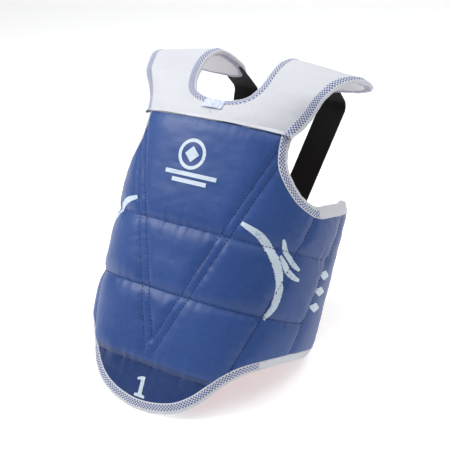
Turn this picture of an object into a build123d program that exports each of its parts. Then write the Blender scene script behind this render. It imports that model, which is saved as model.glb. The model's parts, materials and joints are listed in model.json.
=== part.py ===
"""Reversible sparring chest protector, standing by itself on its tongue and its two rear corners.

A quilted foam panel is wrapped round the trunk: a front with a tongue below it, and a wing on each
side. A yoke and two shoulder pieces pass over the shoulders to an elastic harness across the back,
whose hook tabs close on loop patches inside the wings.

The model is drawn upright, as it is worn: X to the wearer's left, Y to the back, Z up, with Z = 0 at
the tip of the tongue and Y = 0 at the front of the chest. "Girth" is the distance round the outer face
from the centre of the chest, and "depth" is measured inwards from that face. At the end the finished
pieces are leaned back until the tongue and the rear corners stand on Z = 0.
"""

import os
from math import asin, atan2, cos, degrees, hypot, radians, sin

from build123d import *

# ---------------------------------------------------------------- driving dimensions, in mm and degrees
# Plan of the panel's outer face: three tangent arcs each side of the centre.
FRONT_R = 540.0
FRONT_HALF = 65.0
CORNER_R = 114.0
CORNER_LENGTH = 130.0
SIDE_R = 193.0
REAR_GIRTH = 335.0

# Layers of the panel, from the outer face inwards.
PANEL_THICK = 22.0
COVER_THICK = 1.2
RIM_THICK = 10.0
RIM_WIDTH = 10.0
CHANNEL = 4.0
HINGE_GAP = 5.0

# Heights of the sewn channels and of the yoke seam.
TONGUE_SEAM = 59.0
LOWER_SEAM = 166.0
CHEST_SEAM = 261.0
YOKE_SEAM = 413.0

# The vee of double stitching on the chest: girth grows by VEE_SLOPE for each mm of height.
VEE_FOOT = 80.0
VEE_SLOPE = 0.383

# Slanted channels: each is (girth, height) at two places.
FLANK_LOW, FLANK_HIGH = (118.0, 72.0), (200.0, 328.0)
REAR_LOW, REAR_HIGH = (222.0, 139.0), (280.0, 325.0)

# Outline of the panel, as (girth, height). The front and the side view each draw their own part of it,
# and they meet at SPLIT_GIRTH with one height and one slope.
SPLIT_GIRTH = 150.0
TONGUE_EDGE = [(33, 4), (62, 14), (86, 31), (105, 51), (124, 71)]
HEM_SPLIT, HEM_SPLIT_SLOPE = 89.0, 0.55
HEM = [(191, 104), (248, 114)]
ARMHOLE_SPLIT, ARMHOLE_SPLIT_SLOPE = 348.0, -0.85
ARMHOLE_FRONT = [(131, 370), (125, 392)]
ARMHOLE_SIDE = [(244, 337), (204, 328), (172, 334)]
ARMHOLE_TOP_GIRTH = 124.0
REAR_CORNER_HEIGHT = 118.0
REAR_TOP_HEIGHT = 352.0
CORNER_ROUND = 12.0

# Yoke and shoulder pieces: a thin padded sheet whose side profile is a straight rise and two arcs.
SHEET_THICK = 9.0
SHEET_COVER = 1.0
SHEET_START = 7.0
YOKE_LEAN = 62.0
YOKE_RISE = 88.0
SHOULDER_R = 70.0
SHOULDER_ARC = 76.0
SHOULDER_TAIL_R = 400.0
SHOULDER_TAIL = 92.0
SEAM_GAP = 0.3

# Top view of the yoke and shoulder, as (X, Y): neck side, tip and arm side.
NECK_FRONT = 17.0
NECK_EDGE = [(30, 19.5), (47, 26), (56, 42), (58, 80), (56, 130), (56, 165)]
FLAP_TIP = [(66, 192), (84, 197), (102, 190)]
ARM_EDGE = [(142, 168), (170, 142), (178, 112), (170, 80), (151, 46)]
SHEET_FOOT = 30.0
SHEET_RIM = 6.0

# Back harness.
STRAP_WIDTH = 45.0
STRAP_THICK = 1.8
STRAP_TOP_X = 79.0
STRAP_FOOT_X = 30.0
STRAP_BEND_R = 16.0
BAND_WIDTH = 50.0
BAND_HEIGHT = 232.0
BAND_BEND_R = 30.0
TAB_LENGTH = 58.0
TAB_REACH = 12.0
TAB_THICK = 1.4
LOOP_THICK = 1.4
FIT_GAP = 0.5
PATCH_SIZE = (112.0, 62.0)
PATCH_THICK = 1.2

# Neck label.
LABEL_WIDTH, LABEL_HEIGHT, LABEL_THICK = 30.0, 17.0, 0.6
LABEL_DROP = 24.0

# Standing: the floor planes this much off the rims that it touches, and the reach of cutting prisms.
REST_FLAT = 1.0
VIEW_REACH = 400.0


# ---------------------------------------------------------------- plan and profile, as chains of tangent runs
# A chain is (start point, heading in degrees, [(length, radius), ...]): a positive radius turns left, a
# negative one turns right, and 0 is straight.
CORNER_TURN = degrees(FRONT_HALF / FRONT_R + CORNER_LENGTH / CORNER_R)
SIDE_LENGTH = REAR_GIRTH + 20 - FRONT_HALF - CORNER_LENGTH
PLAN = ((0.0, 0.0), 0.0, [(FRONT_HALF, FRONT_R), (CORNER_LENGTH, CORNER_R), (SIDE_LENGTH, SIDE_R)])
YOKE_PROFILE = ((SHEET_START, YOKE_SEAM), YOKE_LEAN, [(YOKE_RISE, 0)])


def step(point, heading, length, radius, shift=0.0):
    """The end of one run, moved `shift` to the left of travel, and the heading there."""
    turn = degrees(length / radius) if radius else 0.0
    before, after = radians(heading), radians(heading + turn)
    if radius:
        reach = radius - shift
        move = (reach * (sin(after) - sin(before)), reach * (cos(before) - cos(after)))
    else:
        move = (length * cos(before), length * sin(before))
    return (point[0] + move[0], point[1] + move[1]), heading + turn


def station(chain, distance, shift=0.0):
    """The point at `distance` along a chain, moved `shift` to the left, and the heading there."""
    point, heading, runs = chain
    point = (point[0] - shift * sin(radians(heading)), point[1] + shift * cos(radians(heading)))
    for length, radius in runs:
        part = min(length, distance)
        point, heading = step(point, heading, part, radius, shift)
        distance -= part
        if distance <= 0:
            break
    return point, heading


def chain_line(chain, shift):
    """Draws a chain in the current BuildLine, moved `shift` to the left, and returns its two ends."""
    point, heading, runs = chain
    point = (point[0] - shift * sin(radians(heading)), point[1] + shift * cos(radians(heading)))
    first = point
    for length, radius in runs:
        end, after = step(point, heading, length, radius, shift)
        if radius:
            tangent = (cos(radians(heading)), sin(radians(heading)))
            JernArc(point, tangent, abs(radius - shift), after - heading)
        else:
            Line(point, end)
        point, heading = end, after
    return first, point


def ribbon(chain, shift_a, shift_b):
    """Fills the strip between two shifts of a chain, in the current BuildSketch."""
    with BuildLine() as edge:
        start_a, end_a = chain_line(chain, shift_a)
        start_b, end_b = chain_line(chain, shift_b)
        Line(start_a, start_b)
        Line(end_a, end_b)
    make_face(edge.edges())


def plan_point(girth, depth=0.0):
    """(X, Y) on the panel at a signed girth, `depth` in from the outer face."""
    (x, y), _ = station(PLAN, abs(girth), depth)
    return (x if girth >= 0 else -x, y)


def side_y(girth):
    """Y of the panel's outer face at a girth, for outlines drawn in the side view."""
    return plan_point(girth)[1]


def front_x(girth):
    """X of the panel's outer face at a girth, for outlines drawn in the front view."""
    return plan_point(girth)[0]


def channel_plane(low, high):
    """The plane through a slanted channel and the panel's normal midway, facing the rear."""
    start = Vector(*plan_point(low[0]), low[1])
    end = Vector(*plan_point(high[0]), high[1])
    turn = radians(station(PLAN, (low[0] + high[0]) / 2)[1])
    normal = Vector(sin(turn), -cos(turn), 0)
    line = (end - start).normalized()
    plane = Plane(origin=start, x_dir=line, z_dir=normal.cross(line))
    return plane if plane.z_dir.Y > 0 else -plane


FLANK_PLANE = channel_plane(FLANK_LOW, FLANK_HIGH)
REAR_PLANE = channel_plane(REAR_LOW, REAR_HIGH)
SHOULDER_START, _ = station(YOKE_PROFILE, YOKE_RISE)
SHOULDER_PROFILE = (
    SHOULDER_START,
    YOKE_LEAN,
    [(SHOULDER_ARC, -SHOULDER_R), (SHOULDER_TAIL, -SHOULDER_TAIL_R)],
)

# ---------------------------------------------------------------- blanks that the pieces are cut from
pieces = {}


def keep(name, part):
    """Labels a finished piece and files it under its node name."""
    part.label = name
    pieces[name] = part


def keep_pair(name, part):
    """Files a piece of the left side and its mirror image on the right."""
    keep(f"{name}_left", part)
    keep(f"{name}_right", mirror(part, about=Plane.YZ))


def both_halves(half):
    """Joins a left half that reaches the centre with its mirror image."""
    with BuildPart() as whole:
        add(half)
        mirror(about=Plane.YZ)
    return whole.part


def trimmed(blank, *planes, inside=None, outside=None):
    """A copy of a blank, cut to what each plane faces, what is inside one solid and outside another."""
    with BuildPart() as piece:
        add(blank)
        for plane in planes:
            split(bisect_by=plane, keep=Keep.TOP)
        if inside:
            add(inside, mode=Mode.INTERSECT)
        if outside:
            add(outside, mode=Mode.SUBTRACT)
    return piece.part


def above(height):
    """The level plane at a height, facing up."""
    return Plane.XY.offset(height)


def below(height):
    """The level plane at a height, facing down."""
    return -Plane.XY.offset(height)


def panel_layer(depth_a, depth_b):
    """The left half of the wrapped panel between two depths, before its outline is cut."""
    with BuildPart() as layer:
        with BuildSketch(Plane.XY.offset(-CORNER_ROUND)):
            ribbon(PLAN, depth_a, depth_b)
        extrude(amount=YOKE_SEAM + CORNER_ROUND)
    return layer.part


def shifted(points, tangents, shift):
    """The points of a smooth curve, each moved `shift` to the left of its travel."""
    curve = Spline(points, tangents=tangents, mode=Mode.PRIVATE)
    moved = []
    for x, y in points:
        along = curve % curve.param_at_point((x, y))
        moved.append((x - shift * along.Y, y + shift * along.X))
    return moved


def front_outline(inset):
    """The part of the outline that the front view draws, as a prism along Y."""
    turn = radians(station(PLAN, SPLIT_GIRTH)[1])
    split_x, split_y = plan_point(SPLIT_GIRTH)
    hem = [(0, 0)] + [(front_x(g), z) for g, z in TONGUE_EDGE] + [(split_x, HEM_SPLIT)]
    arm = [(split_x, ARMHOLE_SPLIT)] + [(front_x(g), z) for g, z in ARMHOLE_FRONT] + [(front_x(ARMHOLE_TOP_GIRTH), YOKE_SEAM)]
    run = (2 * CORNER_ROUND * cos(turn), 2 * CORNER_ROUND * HEM_SPLIT_SLOPE)
    top = YOKE_SEAM + 2 * RIM_WIDTH
    hem_ends = [(1, 0), (cos(turn), HEM_SPLIT_SLOPE)]
    arm_ends = [(-cos(turn), -ARMHOLE_SPLIT_SLOPE), (0, 1)]
    with BuildPart() as prism:
        with BuildSketch(Plane.XZ):
            with BuildLine():
                hem = shifted(hem, hem_ends, inset)
                arm = shifted(arm, arm_ends, inset)
                Spline(hem, tangents=hem_ends)
                Polyline(hem[-1], (hem[-1][0] + run[0], hem[-1][1] + run[1]), (arm[0][0] + run[0], arm[0][1]), arm[0])
                Spline(arm, tangents=arm_ends)
                Polyline(arm[-1], (arm[-1][0], top), (0, top), hem[0])
            make_face()
            mirror(about=Plane.YZ)
        extrude(amount=VIEW_REACH, both=True)
        split(bisect_by=-Plane.XZ.offset(-split_y), keep=Keep.BOTTOM)
    return prism.part


def side_outline(inset):
    """The part of the outline that the side view draws, as a prism along +X."""
    turn = radians(station(PLAN, SPLIT_GIRTH)[1])
    split_y = side_y(SPLIT_GIRTH)
    rear_y = side_y(REAR_GIRTH)
    run = 2 * CORNER_ROUND * sin(turn)
    hem = [(split_y, HEM_SPLIT)] + [(side_y(g), z) for g, z in HEM] + [(rear_y, REAR_CORNER_HEIGHT)]
    arm = [(rear_y, REAR_TOP_HEIGHT)] + [(side_y(g), z) for g, z in ARMHOLE_SIDE] + [(split_y, ARMHOLE_SPLIT)]
    hem_ends = [(sin(turn), HEM_SPLIT_SLOPE), (1, 0)]
    arm_ends = [(-1, 0), (-sin(turn), -ARMHOLE_SPLIT_SLOPE)]
    with BuildPart() as prism:
        with BuildSketch(Plane.YZ):
            with BuildLine():
                hem = shifted(hem, hem_ends, inset)
                arm = shifted(arm, arm_ends, inset)
                hem[-1] = (rear_y - inset, hem[-1][1])
                arm[0] = (rear_y - inset, arm[0][1])
                Spline(hem, tangents=hem_ends)
                Line(hem[-1], arm[0])
                Spline(arm, tangents=arm_ends)
                Polyline(arm[-1], (split_y - run, arm[-1][1]), (split_y - run, hem[0][1]), hem[0])
            make_face()
            rear = vertices().group_by(Axis.X)[-1]
            fillet(rear, radius=CORNER_ROUND - inset)
        extrude(amount=VIEW_REACH)
        split(bisect_by=Plane.XZ.offset(-split_y), keep=Keep.BOTTOM)
    return prism.part


def outlined(layer, inset):
    """A panel layer cut to the outline, `inset` in from its edge."""
    with BuildPart() as piece:
        add(trimmed(layer, inside=front_outline(inset)))
        add(trimmed(layer, inside=side_outline(inset)))
    return piece.part


def sheet_layer(chain, shift_a, shift_b, reach):
    """A sheet that follows a side profile, between two shifts of it, as wide as `reach` each side."""
    with BuildPart() as layer:
        with BuildSketch(Plane.YZ):
            ribbon(chain, shift_a, shift_b)
        extrude(amount=reach, both=True)
    return layer.part


def shoulder_outline(inset):
    """The yoke and both shoulder pieces as seen from above, as a prism along Z, `inset` in."""
    foot = -SHEET_FOOT
    neck_ends, tip_ends, arm_ends = [(1, 0), (0, 1)], [(0, 1), (0.9, -0.6)], [(0.9, -0.6), (-0.5, -1)]
    with BuildPart() as prism:
        with BuildSketch(Plane.XY):
            with BuildLine():
                neck = shifted([(0, NECK_FRONT)] + NECK_EDGE, neck_ends, -inset)
                tip = shifted([NECK_EDGE[-1]] + FLAP_TIP + [ARM_EDGE[0]], tip_ends, -inset)
                arm = shifted(ARM_EDGE + [(ARMHOLE_TOP_X, 0)], arm_ends, -inset)
                Spline(neck, tangents=neck_ends)
                Spline(tip, tangents=tip_ends)
                Spline(arm, tangents=arm_ends)
                Polyline(arm[-1], (arm[-1][0], foot), (0, foot), neck[0])
            make_face()
            mirror(about=Plane.YZ)
        extrude(amount=2 * VIEW_REACH)
    return prism.part


ARMHOLE_TOP_X = front_x(ARMHOLE_TOP_GIRTH)

# ---------------------------------------------------------------- the quilted panel
half_hinge, half_channel = HINGE_GAP / 2, CHANNEL / 2
rim_depth = (PANEL_THICK - RIM_THICK) / 2
outer_layer = panel_layer(0, COVER_THICK)
inner_layer = panel_layer(PANEL_THICK - COVER_THICK, PANEL_THICK)
foam_layer = panel_layer(COVER_THICK, PANEL_THICK - COVER_THICK)
rim_layer = panel_layer(rim_depth, rim_depth + RIM_THICK)

outer_cover = outlined(outer_layer, RIM_WIDTH)
inner_cover = outlined(inner_layer, RIM_WIDTH)
foam = outlined(foam_layer, RIM_WIDTH)
rim = outlined(rim_layer, 0)
with BuildPart() as rim_bore:
    add(front_outline(RIM_WIDTH))
    add(side_outline(RIM_WIDTH))
rim = trimmed(rim, outside=rim_bore.part)

# Which side of a hinge or channel a piece is on.
on_front = -FLANK_PLANE.offset(-half_hinge)
on_wing = FLANK_PLANE.offset(half_hinge)
over_tongue = above(TONGUE_SEAM + half_hinge)
on_tongue = below(TONGUE_SEAM - half_hinge)
yoke_seam = below(YOKE_SEAM)

VEE_TOP_X = front_x(VEE_SLOPE * (YOKE_SEAM - VEE_FOOT))
vee_turn = atan2(VEE_TOP_X, YOKE_SEAM - VEE_FOOT)
outside_vee = Plane(origin=(0, 0, VEE_FOOT), x_dir=(0, 1, 0), z_dir=(cos(vee_turn), 0, -sin(vee_turn)))
left_of_centre = Plane.YZ.offset(half_channel)
behind_rear_seam = REAR_PLANE.offset(half_channel)
before_rear_seam = -REAR_PLANE.offset(-half_channel)

ROWS = {
    "chest": (CHEST_SEAM + half_channel, YOKE_SEAM),
    "middle": (LOWER_SEAM + half_channel, CHEST_SEAM - half_channel),
    "lower": (TONGUE_SEAM + half_hinge, LOWER_SEAM - half_channel),
}
for row, (low, high) in ROWS.items():
    band = trimmed(foam, above(low), below(high))
    core = trimmed(band, -outside_vee.offset(-half_channel), on_front)
    keep(f"foam_{row}_centre", both_halves(core))
    keep_pair(f"foam_{row}_side", trimmed(band, outside_vee.offset(half_channel), on_front, left_of_centre))
    keep_pair(f"foam_{row}_flank", trimmed(band, on_wing, before_rear_seam))
keep_pair("foam_rear", trimmed(foam, on_wing, behind_rear_seam))
keep("foam_tongue", both_halves(trimmed(foam, on_tongue, on_front)))

for name, layer in (("cover", outer_cover), ("reverse", inner_cover)):
    keep(f"front_{name}", both_halves(trimmed(layer, over_tongue, on_front, yoke_seam)))
    keep_pair(f"wing_{name}", trimmed(layer, on_wing))
    keep(f"tongue_{name}", both_halves(trimmed(layer, on_tongue, on_front)))

keep_pair("armhole_binding", trimmed(rim, on_front, above(CHEST_SEAM), yoke_seam))
keep_pair("wing_binding", trimmed(rim, on_wing))
keep("tongue_binding", both_halves(trimmed(rim, on_tongue, on_front)))

# ---------------------------------------------------------------- yoke and shoulder pieces
sheet_full = shoulder_outline(0)
sheet_inset = shoulder_outline(SHEET_RIM)
SHEET_DEPTHS = {
    "lining": (0, SHEET_COVER),
    "foam": (SHEET_COVER, SHEET_THICK - SHEET_COVER),
    "cover": (SHEET_THICK - SHEET_COVER, SHEET_THICK),
}
left_half = Plane.YZ
shoulder_seam = Plane(
    origin=(0, *SHOULDER_START),
    x_dir=(1, 0, 0),
    z_dir=(0, cos(radians(YOKE_LEAN)), sin(radians(YOKE_LEAN))),
)
behind_seam = shoulder_seam.offset(SEAM_GAP)
over_yoke_seam = above(YOKE_SEAM + SEAM_GAP)
for name, (shift_a, shift_b) in SHEET_DEPTHS.items():
    yoke = sheet_layer(YOKE_PROFILE, shift_a, shift_b, VIEW_REACH)
    keep(f"yoke_{name}", trimmed(yoke, over_yoke_seam, inside=sheet_inset))
    flap = sheet_layer(SHOULDER_PROFILE, shift_a, shift_b, VIEW_REACH)
    keep_pair(f"shoulder_{name}", trimmed(flap, left_half, behind_seam, inside=sheet_inset))

rim_sheet = trimmed(
    sheet_layer(YOKE_PROFILE, 0, SHEET_THICK, VIEW_REACH), over_yoke_seam, inside=sheet_full, outside=sheet_inset
)
neck_side = [solid for solid in rim_sheet.solids() if abs(solid.center().X) < RIM_WIDTH]
arm_side = rim_sheet.solids().sort_by(Axis.X)[-1]
keep("neck_binding", Part() + neck_side)
keep_pair("yoke_arm_binding", Part() + arm_side)
flap_rim = sheet_layer(SHOULDER_PROFILE, 0, SHEET_THICK, VIEW_REACH)
flap_rim = trimmed(flap_rim, left_half, behind_seam, inside=sheet_full, outside=sheet_inset)
keep_pair("shoulder_binding", flap_rim)

# ---------------------------------------------------------------- back harness
# The tab follows the wing's inner face past the rear edge; the cross band starts where the tab ends.
tab_depth = PANEL_THICK + LOOP_THICK
tab_start = REAR_GIRTH - TAB_LENGTH + TAB_REACH
rear_heading = station(PLAN, REAR_GIRTH + TAB_REACH)[1]
band_level = Plane.XY.offset(BAND_HEIGHT - BAND_WIDTH / 2)


def wall_strip(first, last, depth_a, depth_b, height):
    """A flat strip bent along the panel between two girths and two depths."""
    start, heading = station(PLAN, first)
    chain = (start, heading, [(last - first, SIDE_R)])
    with BuildPart() as strip:
        with BuildSketch(Plane.XY.offset(BAND_HEIGHT - height / 2)):
            ribbon(chain, depth_a, depth_b)
        extrude(amount=height)
    return strip.part


keep_pair("loop_patch", wall_strip(tab_start, REAR_GIRTH - RIM_WIDTH, PANEL_THICK, tab_depth, BAND_WIDTH))
tab_end = REAR_GIRTH + TAB_REACH
keep_pair("hook_tab", wall_strip(tab_start, tab_end, tab_depth, tab_depth + TAB_THICK, BAND_WIDTH - 4))

band_start, band_heading = station(PLAN, tab_end, tab_depth)
gap = FIT_GAP * cos(radians(band_heading)), FIT_GAP * sin(radians(band_heading))
band_start = (band_start[0] + gap[0], band_start[1] + gap[1])
turn_left = 180 - band_heading
bend = (BAND_BEND_R * radians(turn_left), BAND_BEND_R)
bend_end, _ = step(band_start, band_heading, *bend)
BAND_CHAIN = (band_start, band_heading, [bend, (bend_end[0], 0)])
with BuildPart() as band:
    with BuildSketch(band_level):
        ribbon(BAND_CHAIN, 0, STRAP_THICK)
    extrude(amount=BAND_WIDTH)
    mirror(about=Plane.YZ)
keep("cross_band", band.part)

# A strap runs under its shoulder piece, bends down and hangs to the cross band, which it is sewn behind.
strap_y = bend_end[1] + STRAP_THICK
tail_end, tail_heading = station(SHOULDER_PROFILE, SHOULDER_ARC + SHOULDER_TAIL)
strap_turn = -90 - tail_heading
lap_start, lap_heading = station(SHOULDER_PROFILE, SHOULDER_ARC + SHOULDER_TAIL / 2)
bend_reach = step((0, 0), tail_heading, radians(-strap_turn) * STRAP_BEND_R, -STRAP_BEND_R)[0][0]
run_on = (strap_y - tail_end[0] - bend_reach) / cos(radians(tail_heading))
STRAP_RUNS = [
    (SHOULDER_TAIL / 2, -SHOULDER_TAIL_R),
    (run_on, 0),
    (radians(-strap_turn) * STRAP_BEND_R, -STRAP_BEND_R),
]
strap_chain = (lap_start, lap_heading, STRAP_RUNS)
strap_knee, _ = station(strap_chain, sum(length for length, _ in STRAP_RUNS))
strap_foot = BAND_HEIGHT - BAND_WIDTH / 2
STRAP_RUNS.append((strap_knee[1] - strap_foot, 0))
with BuildPart() as strap_outline:
    with BuildSketch(Plane.XZ):
        with BuildLine():
            half = STRAP_WIDTH / 2
            knee, over = strap_knee[1], strap_knee[1] + VIEW_REACH
            Polyline(
                (STRAP_TOP_X - half, over), (STRAP_TOP_X - half, knee), (STRAP_FOOT_X - half, strap_foot),
                (STRAP_FOOT_X + half, strap_foot), (STRAP_TOP_X + half, knee), (STRAP_TOP_X + half, over),
                close=True,
            )
        make_face()
    extrude(amount=VIEW_REACH, both=True)
strap_sheet = sheet_layer(strap_chain, -STRAP_THICK, 0, VIEW_REACH)
keep_pair("strap", trimmed(strap_sheet, inside=strap_outline.part))

with BuildPart() as patch:
    with BuildSketch(Plane.XZ.offset(-strap_y)):
        with Locations((0, BAND_HEIGHT)):
            RectangleRounded(*PATCH_SIZE, radius=6)
    extrude(amount=-PATCH_THICK)
keep("join_patch", patch.part)

# ---------------------------------------------------------------- neck label
label_foot, _ = station(YOKE_PROFILE, LABEL_DROP / 2)
with BuildPart() as label:
    with BuildSketch(Plane.YZ):
        ribbon((label_foot, YOKE_LEAN, [(LABEL_HEIGHT, 0)]), -LABEL_THICK, 0)
    extrude(amount=LABEL_WIDTH / 2, both=True)
keep("neck_label", label.part)

# ---------------------------------------------------------------- stand it up
# The floor touches the tongue's tip at the rim's inner face and rolls round the wings' rear corners.
tip = (rim_depth + RIM_THICK, 0.0)
corner = (side_y(REAR_GIRTH) - CORNER_ROUND, REAR_CORNER_HEIGHT + CORNER_ROUND)
across, up = corner[0] - tip[0], corner[1] - tip[1]
lean = degrees(atan2(up, across) - asin(CORNER_ROUND / hypot(across, up)))
floor = Plane(origin=(0, *tip), x_dir=(1, 0, 0), z_dir=(0, -sin(radians(lean)), cos(radians(lean))))
floor = floor.offset(REST_FLAT)

os.makedirs("parts", exist_ok=True)
standing = floor.location.inverse()
stood = {name: standing * trimmed(part, floor) for name, part in pieces.items()}
boxes = [part.bounding_box() for part in stood.values()]
middle = (min(box.min.Y for box in boxes) + max(box.max.Y for box in boxes)) / 2
for name, part in stood.items():
    placed = Compound((Pos(0, -middle, 0) * part).solids(), label=name)
    export_step(placed, f"parts/{name}.step")
print(f"lean {lean:.3f} degrees, middle at Y {middle:.3f}")
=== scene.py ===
"""Looks of a reversible sparring chest protector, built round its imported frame.

Sizes are millimetres and degrees in the protector's own upright frame: X to the wearer's left, Y to
the back, Z up, Y = 0 on the outer face at the centre of the chest. "Girth" is the distance round the
outer face from the centre, and "depth" is measured inwards. Placement turns them into the row frame.
"""

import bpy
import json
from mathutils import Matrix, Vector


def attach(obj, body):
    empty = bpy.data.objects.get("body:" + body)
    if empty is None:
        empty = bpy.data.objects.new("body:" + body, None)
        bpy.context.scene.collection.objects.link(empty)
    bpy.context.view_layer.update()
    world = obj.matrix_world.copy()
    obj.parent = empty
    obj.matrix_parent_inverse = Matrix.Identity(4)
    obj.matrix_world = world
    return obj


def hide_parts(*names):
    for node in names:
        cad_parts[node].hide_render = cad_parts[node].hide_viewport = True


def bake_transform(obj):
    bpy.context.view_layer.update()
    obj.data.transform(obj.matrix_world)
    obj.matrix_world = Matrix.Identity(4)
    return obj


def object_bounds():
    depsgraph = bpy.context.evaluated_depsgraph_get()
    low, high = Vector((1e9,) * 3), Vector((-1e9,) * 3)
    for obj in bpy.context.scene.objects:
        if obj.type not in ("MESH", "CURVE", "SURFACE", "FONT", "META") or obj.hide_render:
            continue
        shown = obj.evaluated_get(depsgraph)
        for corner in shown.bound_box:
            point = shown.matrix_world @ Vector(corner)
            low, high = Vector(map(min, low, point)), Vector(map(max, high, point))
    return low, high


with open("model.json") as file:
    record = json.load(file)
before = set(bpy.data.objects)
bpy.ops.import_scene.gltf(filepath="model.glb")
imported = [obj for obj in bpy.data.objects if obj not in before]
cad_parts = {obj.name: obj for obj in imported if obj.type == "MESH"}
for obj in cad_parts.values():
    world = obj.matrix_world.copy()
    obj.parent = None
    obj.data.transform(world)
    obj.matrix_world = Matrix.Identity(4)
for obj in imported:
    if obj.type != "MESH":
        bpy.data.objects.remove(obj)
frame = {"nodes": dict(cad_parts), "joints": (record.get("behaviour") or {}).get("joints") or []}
CAD_BOX = [list(corner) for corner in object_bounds()]

import json
import logging
import math
from dataclasses import dataclass, field
from enum import Enum
from typing import Callable, Dict, List, Optional, Sequence, Tuple

import bpy
import numpy as np
from mathutils import Matrix, Vector, geometry, noise

log = logging.getLogger("protector")
Array = np.ndarray
Pair = Tuple[float, float]
MM = 0.001


class Side(Enum):
    """The wearer's left and right, with the sign of X there."""

    LEFT = 1
    RIGHT = -1

    @property
    def word(self) -> str:
        """The side's name as the frame's bodies spell it."""
        return self.name.lower()


def joint(name: str) -> dict:
    """The frame's joint of that name."""
    return next(j for j in frame["joints"] if j["name"] == name)


# ------------------------------------------------------------------ shapes shared by every piece
@dataclass(frozen=True)
class PanelShape:
    """The wrapped panel's plan and outline, as the frame was drawn."""

    runs: Tuple[Pair, ...] = ((65.0, 540.0), (130.0, 114.0), (160.0, 193.0))
    rear_girth: float = 335.0
    thick: float = 22.0
    tongue_seam: float = 59.0
    lower_seam: float = 166.0
    chest_seam: float = 261.0
    yoke_seam: float = 413.0
    flank: Tuple[Pair, Pair] = ((118.0, 72.0), (200.0, 328.0))
    rear: Tuple[Pair, Pair] = ((222.0, 139.0), (280.0, 325.0))
    hem: Tuple[Pair, ...] = (
        (0, 0), (33, 4), (62, 14), (86, 31), (105, 51), (124, 71), (150, 89), (191, 104), (248, 114),
        (322, 118),
    )
    armhole: Tuple[Pair, ...] = (
        (322, 351), (244, 337), (204, 328), (172, 334), (150, 348), (131, 370), (125, 392), (124, 413),
    )
    corner_round: float = 12.0
    rear_foot: float = 118.0
    rear_top: float = 352.0
    top_girth: float = 124.0
    fold_depth: float = 6.0

    def place(self, girth: Array, depth: Array) -> Tuple[Array, Array]:
        """Where points of the plan lie.

        Args:
            girth: Signed distance round the outer face.
            depth: Distance in from that face.

        Returns:
            X and Y of each point.
        """
        left = np.abs(girth)
        x, y, turn = np.zeros_like(left), np.zeros_like(left), np.zeros_like(left)
        start = 0.0
        for length, radius in self.runs:
            last = length == self.runs[-1][0]
            part = np.clip(left - start, 0, None if last else length)
            after = turn + part / radius
            x = x + radius * (np.sin(after) - np.sin(turn))
            y = y + radius * (np.cos(turn) - np.cos(after))
            turn, start = after, start + length
        return np.sign(girth) * (x - depth * np.sin(turn)), y + depth * np.cos(turn)

    def heading(self, girth: float) -> float:
        """Direction of travel round the plan at a girth, in radians."""
        turn, start = 0.0, 0.0
        for length, radius in self.runs:
            turn += min(max(girth - start, 0.0), length) / radius
            start += length
        return turn


@dataclass(frozen=True)
class SheetShape:
    """The yoke and shoulder pieces: side profile and outline seen from above."""

    start: Pair = (7.0, 413.0)
    lean: float = 62.0
    rise: float = 88.0
    arc: Pair = (76.0, 70.0)
    tail: Pair = (92.0, 400.0)
    thick: float = 9.0
    neck: Tuple[Pair, ...] = ((0, 17), (30, 19.5), (47, 26), (56, 42), (58, 80), (56, 130), (56, 165))
    tip: Tuple[Pair, ...] = ((56, 165), (66, 192), (84, 197), (102, 190), (142, 168))
    arm: Tuple[Pair, ...] = ((142, 168), (170, 142), (178, 112), (170, 80), (151, 46), (119, 0))

    def profile(self, along: Array, out: Array) -> Tuple[Array, Array]:
        """Y and Z on the side profile.

        Args:
            along: Distance along the inner face from the yoke seam.
            out: Distance out from the inner face.

        Returns:
            Y and Z of each point.
        """
        heading = np.full_like(along, math.radians(self.lean))
        y, z = np.full_like(along, self.start[0]), np.full_like(along, self.start[1])
        part = np.clip(along, None, self.rise)
        y, z = y + part * np.cos(heading), z + part * np.sin(heading)
        begin = self.rise
        for length, radius in (self.arc, self.tail):
            top = length if radius == self.arc[1] else None
            turn = np.clip(along - begin, 0, top) / radius
            y = y + radius * (np.sin(heading) - np.sin(heading - turn))
            z = z + radius * (np.cos(heading - turn) - np.cos(heading))
            heading, begin = heading - turn, begin + length
        return y - out * np.sin(heading), z + out * np.cos(heading)


PANEL = PanelShape()
SHEET = SheetShape()


class Placement:
    """Turns the protector's upright frame, in mm, into the row frame, in metres."""

    def __init__(self) -> None:
        """Finds the lean and the offset from two joints whose upright places are known."""
        low, high = np.array(joint("tongue_fold")["pos_m"]), np.array(joint("harness_lift")["pos_m"])
        seam_y, seam_z = SHEET.profile(np.array([SHEET.rise]), np.array([SHEET.thick]))
        low_up = np.array([0, PANEL.fold_depth, PANEL.tongue_seam]) * MM
        high_up = np.array([0, seam_y[0], seam_z[0]]) * MM
        upright, leaned = high_up - low_up, high - low
        angle = math.atan2(upright[2], upright[1]) - math.atan2(leaned[2], leaned[1])
        self.turn = np.array(Matrix.Rotation(-angle, 3, "X"))
        self.shift = high - self.turn @ high_up

    def points(self, upright: Array) -> Array:
        """Row-frame places, in metres, of upright points in mm."""
        return np.asarray(upright, float) * MM @ self.turn.T + self.shift

    def direction(self, upright: Sequence[float]) -> Vector:
        """A direction of the upright frame, turned into the row frame."""
        return Vector(self.turn @ np.array(upright, float))


PLACE = Placement()


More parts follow.
